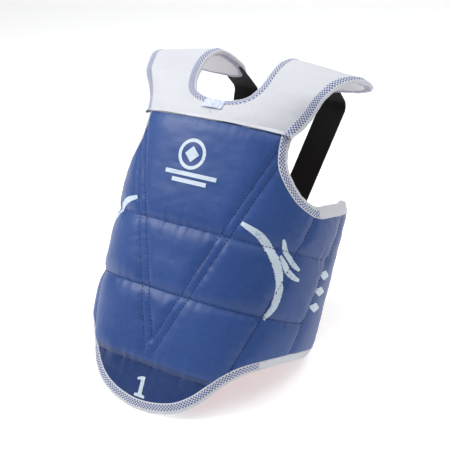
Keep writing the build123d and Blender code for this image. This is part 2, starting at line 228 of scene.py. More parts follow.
def smooth_path(points: Sequence[Pair], step: float = 2.5) -> Array:
    """A Catmull-Rom curve through points.

    Args:
        points: The points, in order.
        step: About how far apart the samples are.

    Returns:
        The samples, one row each.
    """
    p = np.array(points, float)
    ends = np.vstack([2 * p[0] - p[1], p, 2 * p[-1] - p[-2]])
    rows = []
    for a, b, c, d in zip(ends, ends[1:], ends[2:], ends[3:]):
        t = np.linspace(0, 1, max(2, int(np.hypot(*(c - b)) / step)), endpoint=False)[:, None]
        square, cube = 2 * a - 5 * b + 4 * c - d, 3 * b - a - 3 * c + d
        rows.append(0.5 * (2 * b + (c - a) * t + square * t**2 + cube * t**3))
    return np.vstack(rows + [p[-1:]])


def mirrored(half: Array) -> Array:
    """A path from the centre line outwards, joined to its mirror image, from right to left."""
    other = half[::-1] * [-1, 1]
    return np.vstack([other[:-1], half])


def quads(rows: int, wide: int, closed: bool = False) -> List[Tuple[int, ...]]:
    """Faces of a net of points kept row by row, joined end to end where `closed`."""
    return [
        (r * wide + c, r * wide + (c + 1) % wide, (r + 1) * wide + (c + 1) % wide, (r + 1) * wide + c)
        for r in range(rows - 1) for c in range(wide if closed else wide - 1)
    ]


def compact(faces: Sequence[Sequence[int]]) -> Tuple[List[int], List[Tuple[int, ...]]]:
    """The points that faces use, and the faces numbered by those alone."""
    used = sorted({i for face in faces for i in face})
    number = {old: new for new, old in enumerate(used)}
    return used, [tuple(number[i] for i in face) for face in faces]


def path_facts(points: Array, path: Array) -> Tuple[Array, Array]:
    """How far points are from a path, and where along it the nearest place is."""
    best, along = np.full(len(points), 1e9), np.zeros(len(points))
    travelled = 0.0
    for a, b in zip(path[:-1], path[1:]):
        d = b - a
        length = float(np.hypot(*d))
        if length < 1e-9:
            continue
        t = np.clip((points - a) @ d / length**2, 0, 1)
        gap = np.hypot(*(points - a - t[:, None] * d).T)
        nearer = gap < best
        best[nearer], along[nearer] = gap[nearer], travelled + t[nearer] * length
        travelled += length
    return best, along


def inside(points: Array, loop: Array) -> Array:
    """Which points lie inside a closed loop."""
    x, y = points.T
    found = np.zeros(len(points), bool)
    for (x1, y1), (x2, y2) in zip(loop, np.roll(loop, -1, axis=0)):
        if y1 == y2:
            continue
        crosses = (y1 > y) != (y2 > y)
        found ^= crosses & (x < (x2 - x1) * (y - y1) / (y2 - y1) + x1)
    return found


@dataclass(frozen=True)
class Seam:
    """A sewn line that pulls the padding in."""

    path: Array
    sink: float
    reach: float
    pucker: float = 0.5
    seed: float = 0.0


class Surface:
    """A padded sheet with seams, laid out flat and wrapped into place."""

    def __init__(
        self, wrap: Callable[[Array, Array, Array], Array], edge: Array, loop: Array,
        thick: float, rim: Pair, seams: Sequence[Seam], loft: float = 0.0, recess: Pair = (-1e3, 0.0),
        taper: Tuple[float, float, float] = (1e4, 0.0, 1.0),
    ) -> None:
        """Keeps the flat layout.

        Args:
            wrap: Turns flat u, v and depth into upright places.
            edge: The bound edge.
            loop: The closed outline.
            thick: Thickness of the padding.
            rim: How far the faces sink at the edge, and over what width.
            seams: The sewn lines.
            loft: How far the padding swells between its seams.
            recess: The height below which the face lies back, and by how much.
            taper: The height at which the inner face comes forward, by how much, and over what length.
        """
        self.wrap, self.edge, self.loop, self.thick = wrap, edge, loop, thick
        self.rim, self.seams, self.loft, self.recess = rim, list(seams), loft, recess
        self.taper = taper

    def sink(self, flat: Array) -> Array:
        """How deep the face lies below its crown, seam puckers included."""
        gap, along = path_facts(flat, self.edge)
        flatness = np.exp(-((gap / self.rim[1]) ** 1.6))
        pulled = self.rim[0] * flatness
        ripple = 0.8 * np.exp(-gap / 20) * self.ripples(along, 9.0, 3.0)
        level = np.maximum(0, 1 - gap / 40)
        for seam in self.seams:
            gap, along = path_facts(flat, seam.path)
            shape = seam.sink * np.exp(-((gap / seam.reach) ** 1.25))
            pulled = np.where(shape > pulled, shape + 0.25 * pulled, pulled + 0.25 * shape)
            fade = seam.pucker * np.exp(-gap / (1.3 * seam.reach)) * (gap > 0.8)
            ripple += fade * self.ripples(along, 8.0, seam.seed)
        below = np.clip((self.recess[0] - flat[:, 1]) / 4.0, 0, 1)
        pulled = pulled + below * np.maximum(0, self.recess[1] - pulled)
        waves = np.array([noise.noise(Vector((a / 60, b / 26, self.thick))) for a, b in flat])
        creases = np.array([noise.noise(Vector((a / 20, b / 8, 5.0 + self.thick))) for a, b in flat])
        return pulled + ripple - self.loft * (1 - level) + (0.9 * waves + 0.35 * creases) * (1 - flatness)

    @staticmethod
    def ripples(along: Array, pitch: float, seed: float) -> Array:
        """Uneven gathers along a seam."""
        return np.array([noise.noise(Vector((a / pitch, seed, 0.5 * seed))) for a in along])

    def on_face(self, flat: Array, lift: float, inner: bool = False) -> Array:
        """Upright places on the outer or inner face, raised by `lift`."""
        return self.wrap(flat[:, 0], flat[:, 1], self.depth(flat, lift, inner))

    def depth(self, flat: Array, lift: float, inner: bool) -> Array:
        """Depths of flat points on the outer or inner face, raised by `lift`."""
        sunk = self.sink(flat) - lift
        level, reach, length = self.taper
        forward = reach * np.exp(-((np.maximum(0, level - flat[:, 1]) / length) ** 1.5))
        return self.thick - sunk - forward if inner else sunk

    def grid(self, pitch: float) -> Tuple[Array, List[Tuple[int, ...]]]:
        """A flat net of quads that fills the outline.

        Args:
            pitch: The quads' size.

        Returns:
            The net's points and its faces.
        """
        low, high = self.loop.min(0), self.loop.max(0)
        us = np.linspace(low[0], high[0], int((high[0] - low[0]) / pitch) + 1)
        vs = np.linspace(low[1], high[1], int((high[1] - low[1]) / pitch) + 1)
        net = np.array([(u, v) for v in vs for u in us])
        gap, _ = path_facts(net, np.vstack([self.loop, self.loop[:1]]))
        keep = inside(net, self.loop) | (gap < 0.6)
        used, faces = compact([quad for quad in quads(len(vs), len(us)) if keep[list(quad)].all()])
        return net[used], faces


# ------------------------------------------------------------------ shaders
class Sock:
    """A shader socket with arithmetic, so that masks are written as expressions."""

    def __init__(self, paint: "Paint", socket: bpy.types.NodeSocket) -> None:
        """Wraps an output socket of a paint's node tree."""
        self.paint, self.socket = paint, socket

    def math(self, operation: str, *others: object) -> "Sock":
        """A Math node of that operation on this socket and the others."""
        return self.paint.node("ShaderNodeMath", {"operation": operation}, dict(enumerate((self, *others))))

    def __add__(self, other: object) -> "Sock":
        """Sum."""
        return self.math("ADD", other)

    def __sub__(self, other: object) -> "Sock":
        """Difference."""
        return self.math("SUBTRACT", other)

    def __mul__(self, other: object) -> "Sock":
        """Product."""
        return self.math("MULTIPLY", other)

    def __rsub__(self, other: float) -> "Sock":
        """Difference from a number."""
        return self.paint.node("ShaderNodeMath", {"operation": "SUBTRACT"}, {0: other, 1: self})

    __radd__ = __add__
    __rmul__ = __mul__

    def over(self, limit: float, soft: float = 0.0) -> "Sock":
        """One where the value is over a limit, zero elsewhere, with a soft step if asked."""
        if not soft:
            return self.math("GREATER_THAN", limit)
        ends = {"From Min": limit - soft, "From Max": limit + soft, "To Min": 0.0, "To Max": 1.0}
        smooth = {"interpolation_type": "SMOOTHSTEP"}
        return self.paint.node("ShaderNodeMapRange", smooth, {"Value": self, **ends})


class Paint:
    """One material under construction."""

    def __init__(self, name: str) -> None:
        """Starts an empty node material."""
        self.material = bpy.data.materials.new(name)
        self.material.use_nodes = True
        self.tree = self.material.node_tree
        self.shader = self.tree.nodes["Principled BSDF"]

    def node(
        self, kind: str, settings: Optional[dict] = None, inputs: Optional[dict] = None, out: object = 0,
    ) -> Sock:
        """Adds a node.

        Args:
            kind: Its type.
            settings: Its properties, set first.
            inputs: Values or sockets by input name or number.
            out: Which output to return.

        Returns:
            The output socket, wrapped.
        """
        made = self.tree.nodes.new(kind)
        for key, value in (settings or {}).items():
            setattr(made, key, value)
        for key, value in (inputs or {}).items():
            self.feed(made.inputs[key], value)
        return Sock(self, made.outputs[out])

    def feed(self, socket: bpy.types.NodeSocket, value: object) -> None:
        """Links a wrapped socket to an input, or sets the input to a value."""
        if isinstance(value, Sock):
            self.tree.links.new(value.socket, socket)
        else:
            socket.default_value = value

    def set(self, **values: object) -> None:
        """Feeds the main shader's inputs, named with underscores for spaces."""
        for key, value in values.items():
            self.feed(self.shader.inputs[key.replace("_", " ")], value)

    def mix(self, factor: object, a: Sequence[float], b: object) -> Sock:
        """A colour mix of two colours, or of a colour and a socket."""
        first, second = (c if isinstance(c, Sock) else (*c, 1.0) for c in (a, b))
        return self.node("ShaderNodeMix", {"data_type": "RGBA"}, {0: factor, 6: first, 7: second}, out=2)

    def noise(self, scale: float, detail: float = 2.0, where: Optional[Sock] = None) -> Sock:
        """A noise value in object space."""
        where = where or self.place()
        return self.node("ShaderNodeTexNoise", {}, {"Vector": where, "Scale": scale, "Detail": detail})

    def place(self) -> Sock:
        """Object coordinates, in metres."""
        return self.node("ShaderNodeTexCoord", {}, {}, out="Object")

    def flat(self) -> Tuple[Sock, Sock]:
        """The two lengths of the piece's own flat layout, in cm."""
        uv = self.node("ShaderNodeTexCoord", {}, {}, out="UV")
        return tuple(self.node("ShaderNodeSeparateXYZ", {}, {0: uv}, out=axis) for axis in ("X", "Y"))

    def bump(self, height: Sock, distance: float, strength: float = 1.0) -> Sock:
        """A Bump node fed by a height."""
        return self.node("ShaderNodeBump", {}, {"Height": height, "Distance": distance, "Strength": strength})


@dataclass(frozen=True)
class CoatedLeather:
    """Soft coated cloth with a fine grain, faint creases and a low sheen."""

    name: str
    tint: Tuple[float, float, float]
    shade: Tuple[float, float, float]
    roughness: float = 0.42
    grain: float = 900.0
    crease: float = 0.00035

    def make(self) -> bpy.types.Material:
        """Builds the material."""
        p = Paint(self.name)
        cloud, fine = p.noise(9.0, 3.0), p.noise(160.0, 3.0)
        p.set(Base_Color=p.mix((cloud * 0.6 + fine * 0.4).over(0.5, 0.22), self.shade, self.tint))
        p.set(Roughness=self.roughness + (cloud - 0.5) * 0.16 + (fine - 0.5) * 0.10)
        pores = {"Vector": p.place(), "Scale": self.grain}
        cells = p.node("ShaderNodeTexVoronoi", {"feature": "SMOOTH_F1"}, pores)
        stretch = p.node("ShaderNodeMapping", {}, {"Vector": p.place(), "Scale": (0.35, 1.0, 1.0)})
        creases = p.noise(55.0, 4.0, stretch)
        p.set(Normal=p.bump(cells * 0.10 + creases, self.crease))
        p.set(Sheen_Weight=0.05, Sheen_Roughness=0.4, IOR=1.42)
        return p.material


@dataclass(frozen=True)
class CheckTape:
    """White woven binding, with blue checks along its middle."""

    name: str
    white: Tuple[float, float, float] = (0.80, 0.82, 0.87)
    blue: Tuple[float, float, float] = (0.05, 0.09, 0.34)

    def make(self) -> bpy.types.Material:
        """Builds the material."""
        p = Paint(self.name)
        along, across = p.flat()
        rib = (along * 62.0).math("SINE") * (across * 62.0).math("SINE")
        dirt = p.noise(40.0, 3.0)
        white = p.mix(dirt.over(0.5, 0.25), tuple(0.93 * c for c in self.white), self.white)
        checks = ((along * 13.0).math("SINE") * (across * 14.0).math("SINE")).over(0.0, 0.10)
        band = 1.0 - across.math("ABSOLUTE").over(0.44, 0.02)
        p.set(Base_Color=p.mix(checks * band, white, self.blue))
        p.set(Roughness=0.72, Sheen_Weight=0.25, Sheen_Roughness=0.5)
        p.set(Normal=p.bump(rib, 0.00018))
        return p.material


@dataclass(frozen=True)
class Webbing:
    """Woven narrow fabric: ribs across and a fine twill along."""

    name: str
    tint: Tuple[float, float, float]
    ribs: float = 2600.0
    depth: float = 0.0004

    def make(self) -> bpy.types.Material:
        """Builds the material."""
        p = Paint(self.name)
        x, y, z = (p.node("ShaderNodeSeparateXYZ", {}, {0: p.place()}, out=axis) for axis in ("X", "Y", "Z"))
        rib = ((y + z) * self.ribs).math("SINE")
        twill = (x * self.ribs * 1.4).math("SINE")
        fuzz = p.noise(260.0, 4.0)
        light = tuple(2.4 * c + 0.003 for c in self.tint)
        p.set(Base_Color=p.mix((rib * 0.25 + twill * 0.25 + fuzz).over(0.62, 0.5), self.tint, light))
        p.set(Roughness=0.78 + fuzz * 0.16, Specular_IOR_Level=0.25)
        p.set(Sheen_Weight=0.06, Sheen_Roughness=0.5)
        p.set(Normal=p.bump(rib * 0.5 + twill * 0.35 + fuzz * 0.4, self.depth))
        return p.material


@dataclass(frozen=True)
class PrintInk:
    """Screen-printed ink, slightly worn and a touch glossier than the cover."""

    name: str
    tint: Tuple[float, float, float] = (0.62, 0.72, 0.82)
    worn: Tuple[float, float, float] = (0.42, 0.52, 0.68)

    def make(self) -> bpy.types.Material:
        """Builds the material."""
        p = Paint(self.name)
        rub = p.noise(300.0, 5.0) * 0.6 + p.noise(45.0, 2.0) * 0.4
        p.set(Base_Color=p.mix(rub.over(0.60, 0.07), self.tint, self.worn), Roughness=0.38 + rub * 0.2)
        p.set(Normal=p.bump(p.noise(700.0, 2.0), 0.00012))
        return p.material


@dataclass(frozen=True)
class Thread:
    """Twisted sewing thread."""

    name: str
    tint: Tuple[float, float, float]

    def make(self) -> bpy.types.Material:
        """Builds the material."""
        p = Paint(self.name)
        ply = p.noise(1500.0, 2.0)
        p.set(Base_Color=p.mix(ply, tuple(0.7 * c for c in self.tint), self.tint), Roughness=0.6 + 0.2 * ply)
        p.set(Normal=p.bump(ply, 0.0002))
        return p.material


class Finishes:
    """Every finish of the protector, made once."""

    def __init__(self) -> None:
        """Builds all the materials."""
        self.blue = CoatedLeather("blue_cover", (0.034, 0.086, 0.285), (0.026, 0.068, 0.235)).make()
        # The tongue's cover is the blue cover darkened to about six tenths: painted shade for the tongue,
        # which tilts down away from the lamps.
        self.tongue = CoatedLeather("tongue_cover", (0.022, 0.052, 0.175), (0.017, 0.042, 0.15), 0.36).make()
        self.red = CoatedLeather("red_cover", (0.50, 0.030, 0.022), (0.38, 0.022, 0.018), 0.45).make()
        self.white = CoatedLeather("white_cover", (0.64, 0.65, 0.69), (0.58, 0.595, 0.64), 0.55).make()
        self.lining = CoatedLeather("white_lining", (0.74, 0.75, 0.79), (0.66, 0.68, 0.73), 0.6).make()
        self.checks = CheckTape("check_binding").make()
        self.black = Webbing("black_webbing", (0.002, 0.002, 0.0025)).make()
        self.hook = Webbing("hook_tape", (0.005, 0.005, 0.006), 4200.0, 0.0009).make()
        self.label = Webbing("woven_label", (0.42, 0.46, 0.56), 3800.0, 0.0001).make()
        self.ink = PrintInk("pale_ink").make()
        self.thread = Thread("blue_thread", (0.012, 0.025, 0.11)).make()


# ------------------------------------------------------------------ meshes and the bodies they ride on
@dataclass
class Cloth:
    """A mesh of upright points in mm, with the flat layout it came from."""

    points: Array
    faces: List[Tuple[int, ...]]
    flat: Optional[Array] = None

    def part(self, chosen: Array) -> "Cloth":
        """The faces marked in `chosen`, with only their own points."""
        used, faces = compact([f for f, wanted in zip(self.faces, chosen) if wanted])
        return Cloth(self.points[used], faces, None if self.flat is None else self.flat[used])

    def object(self, name: str, material: bpy.types.Material) -> bpy.types.Object:
        """The mesh as an object in the row frame."""
        mesh = bpy.data.meshes.new(name)
        placed = PLACE.points(self.points)
        placed[:, 2] = np.maximum(placed[:, 2], CAD_BOX[0][2] + 0.0002)
        mesh.from_pydata(placed.tolist(), [], self.faces)
        if self.flat is not None:
            layer = mesh.uv_layers.new(name="flat")
            corners = np.array([loop.vertex_index for loop in mesh.loops])
            layer.data.foreach_set("uv", (self.flat[corners] / 10).astype(np.float32).ravel())
        mesh.shade_smooth()
        mesh.materials.append(material)
        made = bpy.data.objects.new(name, mesh)
        bpy.context.scene.collection.objects.link(made)
        return made


class Folds:
    """Splits a mesh into parts where the panel is sewn to fold, fixing the front and the yoke to the front
    body.
    """

    wing_reach = 12.0
    tongue_reach = 8.0
    shoulder_reach = 9.0

    def __init__(self) -> None:
        """Finds the plane of the flank fold."""
        (low_girth, low), (high_girth, high) = PANEL.flank
        a = np.array([*self.plan(low_girth), low])
        b = np.array([*self.plan(high_girth), high])
        turn = PANEL.heading((low_girth + high_girth) / 2)
        across = np.cross([math.sin(turn), -math.cos(turn), 0], (b - a) / np.linalg.norm(b - a))
        self.normal = across if across[1] > 0 else -across
        self.normal = self.normal / np.linalg.norm(self.normal)
        self.origin = a

    @staticmethod
    def plan(girth: float) -> Pair:
        """X and Y of the outer face at a girth."""
        x, y = PANEL.place(np.array([girth]), np.array([0.0]))
        return float(x[0]), float(y[0])

    def flank(self, points: Array, side: Side) -> Array:
        """Distance of points behind the flank fold of a side."""
        return (points * [side.value, 1, 1] - self.origin) @ self.normal

    def share(
        self, name: str, cloth: Cloth, material: bpy.types.Material, slot: str,
        stands_for: Callable[[str], Sequence[str]] = lambda part: (),
        special: Optional[Dict[str, bpy.types.Material]] = None,
    ) -> Dict[str, bpy.types.Object]:
        """Splits a panel mesh at its folds, fixes the front part to the front body and bakes the others in
        place.

        Args:
            name: The pieces' common name.
            cloth: The whole mesh.
            material: Its finish.
            slot: Not used.
            stands_for: The frame's nodes that each part replaces.
            special: Finishes of the parts that don't take the common one.

        Returns:
            The pieces by part.
        """
        made = {}
        region = self.regions(cloth)
        for part in ("front", "tongue", "wing_left", "wing_right"):
            chosen = region == part
            if not chosen.any():
                continue
            piece = cloth.part(chosen).object(f"{name}_{part}", (special or {}).get(part, material))
            if part == "front":
                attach(piece, "front")
            elif part == "tongue":
                ends = [(0, 0, PANEL.tongue_seam + k * self.tongue_reach) for k in (1, -1)]
                self.bend(piece, "tongue", ends)
            else:
                flip = np.array([1 if part == "wing_left" else -1, 1, 1])
                ends = [(self.origin + k * self.wing_reach * self.normal) * flip for k in (-1, 1)]
                self.bend(piece, part, ends)
            nodes = stands_for(part)
            if nodes:
                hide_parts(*nodes)
            made[part] = piece
        return made

    @staticmethod
    def bend(piece: bpy.types.Object, body: str, ends: Sequence[Sequence[float]]) -> None:
        """Bakes a piece's placement into its mesh."""
        start, end = PLACE.points(np.array(ends))
        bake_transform(piece)

    def regions(self, cloth: Cloth) -> Array:
        """Which part each face belongs to."""
        names = np.full(len(cloth.faces), "front", dtype=object)
        low = cloth.points[:, 2] < PANEL.tongue_seam + self.tongue_reach
        wings = {side: self.flank(cloth.points, side) > -self.wing_reach for side in Side}
        for number, face in enumerate(cloth.faces):
            corners = list(face)
            if low[corners].any():
                names[number] = "tongue"
            for side in Side:
                if wings[side][corners].any() and (cloth.points[corners, 0] * side.value > 0).all():
                    names[number] = f"wing_{side.word}"
        return names

    def share_shoulders(
        self, name: str, cloth: Cloth, material: bpy.types.Material,
        stands_for: Callable[[str], Sequence[str]] = lambda part: (),
    ) -> Dict[str, bpy.types.Object]:
        """Splits a yoke mesh into the yoke and two shoulder pieces; see share()."""
        seam = np.array(SHEET.profile(np.array([SHEET.rise]), np.array([SHEET.thick]))).ravel()
        rise = np.array([math.cos(math.radians(SHEET.lean)), math.sin(math.radians(SHEET.lean))])
        past = (cloth.points[:, 1:] - seam) @ rise > -self.shoulder_reach
        names = np.full(len(cloth.faces), "yoke", dtype=object)
        for number, face in enumerate(cloth.faces):
            if past[list(face)].any():
                left = cloth.points[face[0], 0] > 0
                names[number] = "shoulder_left" if left else "shoulder_right"
        made = {}
        for part in ("yoke", "shoulder_left", "shoulder_right"):
            chosen = names == part
            if not chosen.any():
                continue
            piece = cloth.part(chosen).object(f"{name}_{part}", material)
            if part == "yoke":
                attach(piece, "front")
            else:
                ends = [(0, *(seam + k * self.shoulder_reach * rise)) for k in (-1, 1)]
                self.bend(piece, "harness", ends)
            nodes = stands_for(part)
            if nodes:
                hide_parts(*nodes)
            made[part] = piece
        return made


# ------------------------------------------------------------------ sewn details that follow a surface
def arc_points(centre: Pair, radius: float, start: float, end: float, count: int = 8) -> Array:
    """Points along an arc, with its angles in degrees."""
    turn = np.radians(np.linspace(start, end, count))
    return np.array(centre) + radius * np.column_stack([np.cos(turn), np.sin(turn)])


def resample(path: Array, pitch: float) -> Array:
    """A path's points at an even pitch."""
    run = np.concatenate([[0], np.cumsum(np.hypot(*np.diff(path, axis=0).T))])
    at = np.linspace(0, run[-1], max(2, int(run[-1] / pitch) + 1))
    return np.column_stack([np.interp(at, run, path[:, axis]) for axis in (0, 1)])


def inward_normals(path: Array, loop: Array) -> Array:
    """Unit normals of a path, towards the inside of a loop."""
    along = np.gradient(path, axis=0)
    normal = np.column_stack([-along[:, 1], along[:, 0]]) / np.hypot(*along.T)[:, None]
    middle = len(path) // 3
    return normal if inside((path + 2 * normal)[middle : middle + 1], loop)[0] else -normal


@dataclass(frozen=True)
class BoundEdge:
    """A folded tape sewn over an edge: a band on each face and a soft roll between them."""

    band: float = 11.0
    roll: float = 3.6
    tape: float = 0.9
    checked_to: Pair = (165.0, 205.0)

    def make(self, surface: Surface, path: Array) -> Cloth:
        """Sweeps the tape along an edge.

        Args:
            surface: The sheet that is bound.
            path: The edge, in the sheet's flat layout.

        Returns:
            The tape, with lengths along and across it as its flat layout.
        """
        path = resample(path, 2.6)
        normal = inward_normals(path, surface.loop)
        along = np.concatenate([[0], np.cumsum(np.hypot(*np.diff(path, axis=0).T))])
        rows = []
        widths = np.array([self.band, self.band, self.band - 0.9, 8.0, 6.0, 4.0, 2.2, 0.8])
        lifts = np.array([-0.8, 0.35, self.tape, 1.25, 1.35, 1.3, 1.1, 0.8])
        puff = 0.35 * np.array([noise.noise(Vector((a / 9, 4.2, 0))) for a in along])
        for inner in (False, True):
            face = []
            for width, lift in zip(widths, lifts):
                flat = path + width * normal
                face.append((surface.on_face(flat, lift + puff * (lift > 0), inner), width - self.band / 2))
            rows.append(face)
        outer, inner = (surface.depth(path + 0.8 * normal, 0.8, face) for face in (False, True))
        middle, half = (outer + inner) / 2, (inner - outer) / 2
        turned = []
        for angle in np.radians(np.linspace(18, 162, 9)):
            out = self.roll * math.sin(angle) * (1 + 0.5 * puff)
            flat = path - (out - 0.8)[:, None] * normal
            depth = middle - half * math.cos(angle)
            turned.append((surface.wrap(flat[:, 0], flat[:, 1], depth), -self.band / 2 - self.roll * angle))
        whole = rows[0] + turned + rows[1][::-1]
        points = np.vstack([row for row, _ in whole])
        plain = np.abs(path[:, 0]) > np.where(path[:, 1] < 200, *self.checked_to)
        flat = np.vstack([np.column_stack([along, across + 40 * plain]) for _, across in whole])
        return Cloth(points, quads(len(whole), len(path)), flat)


@dataclass(frozen=True)
class StitchRow:
    """A row of short raised stitches."""

    pitch: float = 5.2
    length: float = 3.1
    width: float = 0.8

    def make(self, surface: Surface, paths: Sequence[Array], inner: bool = False) -> Cloth:
        """Lays stitches along lines of a surface's flat layout.

        Args:
            surface: The sheet that is sewn.
            paths: The lines.
            inner: Whether they lie on the inner face.

        Returns:
            All the stitches as one mesh.
        """
        ring = np.radians(np.arange(0, 360, 60))
        shares, sizes = (-0.5, -0.36, 0.0, 0.36, 0.5), (0.35, 0.85, 1.0, 0.85, 0.35)
        points = []
        for path in paths:
            spots = resample(path, self.pitch)
            if len(spots) < 3:
                continue
            along = np.gradient(spots, axis=0)
            along = along / np.hypot(*along.T)[:, None]
            across = np.column_stack([-along[:, 1], along[:, 0]])
            spots, along, across = spots[1:-1], along[1:-1], across[1:-1]
            for share, size in zip(shares, sizes):
                for turn in ring:
                    aside = self.width * size * math.cos(turn)
                    lift = 0.15 + self.width * size * math.sin(turn) - 0.3 * abs(share)
                    flat = spots + share * self.length * along + aside * across
                    points.append(surface.on_face(flat, lift, inner))
        if not points:
            return Cloth(np.zeros((0, 3)), [])
        return self.knit(points, len(shares), len(ring))

    @staticmethod
    def knit(rows: List[Array], rings: int, corners: int) -> Cloth:
        """Joins rows of ring points into closed stitches."""
        points, faces = [], []
        each = rings * corners
        for start in range(0, len(rows), each):
            block = np.stack(rows[start : start + each], axis=1)
            for stitch in block:
                base = each * len(points)
                points.append(stitch)
                for r in range(rings - 1):
                    for c in range(corners):
                        d = (c + 1) % corners
                        low, high = base + r * corners, base + (r + 1) * corners
                        faces.append((low + c, low + d, high + d, high + c))
                faces.append(tuple(base + c for c in reversed(range(corners))))
                faces.append(tuple(base + each - corners + c for c in range(corners)))
        return Cloth(np.vstack(points), faces)


# ------------------------------------------------------------------ the quilted panel
@dataclass
class QuiltedPanel:
    """The wrapped panel: two quilted faces with padding between them, seams, stitches and binding."""

    pitch: float = 3.2
    rim: Pair = (6.0, 10.0)
    channel: Pair = (5.5, 10.0)
    fold: Pair = (3.2, 8.0)
    groove: Pair = (3.2, 6.0)
    tongue_step: Pair = (58.0, 5.0)
    top_taper: Tuple[float, float, float] = (413.0, 10.5, 16.0)
    vee_foot: float = 80.0
    vee_slope: float = 0.383
    row_gap: float = 12.6
    row_reach: float = 121.0
    tongue_reach: float = 112.0
    overrun: float = 3.0
    top: Pair = (4.5, 9.0)
    swell: float = 1.2
    edge: Optional[Array] = None
    face: Optional[Surface] = None
    lines: Dict[str, List[Array]] = field(default_factory=dict)

    def build(self) -> None:
        """Works out the outline, the sewn lines and the padded surface."""
        shape = PANEL
        hem = smooth_path(mirrored(np.array(shape.hem, float)), 2.0)
        hem = hem[len(hem) // 2 :]
        turn, corner = shape.corner_round, shape.rear_girth - shape.corner_round
        low = arc_points((corner, shape.rear_foot + turn), turn, -90, 0)
        high = arc_points((corner, shape.rear_top - turn), turn, 0, 90)
        arm = smooth_path(np.array(shape.armhole, float), 2.0)
        half = np.vstack([hem[:-1], low, high, arm[1:]])
        self.edge = mirrored(half)
        self.sew()
        seams = [Seam(path, *self.channel, 1.7, 3.0 + n) for n, path in enumerate(self.lines["channel"])]
        seams += [Seam(path, *self.fold, 1.3, 15.0 + n) for n, path in enumerate(self.lines["fold"])]
        seams += [Seam(path, *self.groove, 1.1, 9.0 + n) for n, path in enumerate(self.lines["row"])]
        seams += [Seam(path, *self.top, 1.6, 20.0) for path in self.lines["top"]]
        rough = resample(self.edge, 5.0)
        self.face = Surface(
            self.wrap, rough, self.edge, shape.thick, self.rim, seams,
            loft=self.swell, recess=self.tongue_step, taper=self.top_taper,
        )

    @staticmethod
    def wrap(girth: Array, height: Array, depth: Array) -> Array:
        """Upright places of flat points."""
        x, y = PANEL.place(girth, depth)
        return np.column_stack([x, y, height])

    def sew(self) -> None:
        """Lists the sewn lines by kind."""
        shape = PANEL

        def straight(a: Pair, b: Pair, z: float) -> float:
            """Girth at a height on a line through two places."""
            return a[0] + (b[0] - a[0]) * (z - a[1]) / (b[1] - a[1])

        def line(a: Pair, b: Pair) -> Array:
            """A straight line between two places."""
            return np.array([a, b], float)

        channels, folded, rows = [], [], []
        for z in (shape.lower_seam, shape.chest_seam):
            reach = straight(*shape.rear, z)
            channels.append(line((-reach, z), (reach, z)))
        channels.append(line((-self.tongue_reach, shape.tongue_seam), (self.tongue_reach, shape.tongue_seam)))
        aside = self.row_gap / 2 * math.hypot(1, self.vee_slope)
        for side in (1, -1):
            flank = [(side * straight(*shape.flank, z), z) for z in (70, 333)]
            rear = [(side * straight(*shape.rear, z), z) for z in (112, 346)]
            folded += [line(*flank), line(*rear)]
            for shift in (-aside, aside):
                foot = max(self.vee_foot, self.vee_foot - shift / self.vee_slope)
                start = side * (self.vee_slope * (foot - self.vee_foot) + shift)
                top = shape.yoke_seam - self.overrun
                reach = min(self.vee_slope * (top - self.vee_foot) + shift, self.row_reach)
                top = self.vee_foot + (reach - shift) / self.vee_slope
                rows.append(line((start, foot), (side * reach, top)))
        seam = line((-shape.top_girth, shape.yoke_seam), (shape.top_girth, shape.yoke_seam))
        self.lines = {"channel": channels, "fold": folded, "row": rows, "top": [seam]}

    def dress(self, finishes: Finishes, folds: Folds) -> None:
        """Makes the covers, the reverse, the stitches and the binding.

        Args:
            finishes: The materials.
            folds: Splits the pieces at the folds and fixes the front parts to the front body.
        """
        flat, faces = self.face.grid(self.pitch)
        cover = Cloth(self.face.on_face(flat, 0.0), faces, flat)
        # The tongue takes the darker copy of the blue cover, a painted shade.
        special = {"tongue": finishes.tongue}
        made = folds.share("cover", cover, finishes.blue, "blue_cover", self.covers, special)
        reverse = Cloth(self.face.on_face(flat, 0.0, True), [f[::-1] for f in faces], flat)
        made_in = folds.share("reverse", reverse, finishes.red, "reverse_cover", self.reverses)
        tape = BoundEdge(band=12.0, roll=4.6).make(self.face, self.edge)
        folds.share("binding", tape, finishes.checks, "binding", self.bindings)
        rows = self.lines["channel"] + self.lines["fold"] + self.lines["row"]
        folds.share("stitches", StitchRow().make(self.face, rows), finishes.thread, "blue_cover")
        inner = StitchRow().make(self.face, rows, True)
        folds.share("reverse_stitches", inner, finishes.thread, "reverse_cover")

    @staticmethod
    def covers(part: str) -> List[str]:
        """The frame's nodes that an outer cover stands for."""
        if part == "tongue":
            return ["tongue_cover", "foam_tongue"]
        if part == "front":
            centre = [f"foam_{row}_centre" for row in ("chest", "middle", "lower")]
            sides = [f"foam_{row}_side_{s.word}" for row in ("chest", "middle", "lower") for s in Side]
            return ["front_cover", *centre, *sides]
        word = part.split("_")[1]
        flanks = [f"foam_{row}_flank_{word}" for row in ("chest", "middle", "lower")]
        return [f"wing_cover_{word}", f"foam_rear_{word}", *flanks]

    @staticmethod
    def reverses(part: str) -> List[str]:
        """The frame's nodes that an inner cover stands for."""
        if part in ("front", "tongue"):
            return [f"{part}_reverse"]
        return [f"wing_reverse_{part.split('_')[1]}"]

    @staticmethod
    def bindings(part: str) -> List[str]:
        """The frame's nodes that a length of binding stands for."""
        if part == "front":
            return [f"armhole_binding_{s.word}" for s in Side]
        return ["tongue_binding"] if part == "tongue" else [f"wing_binding_{part.split('_')[1]}"]


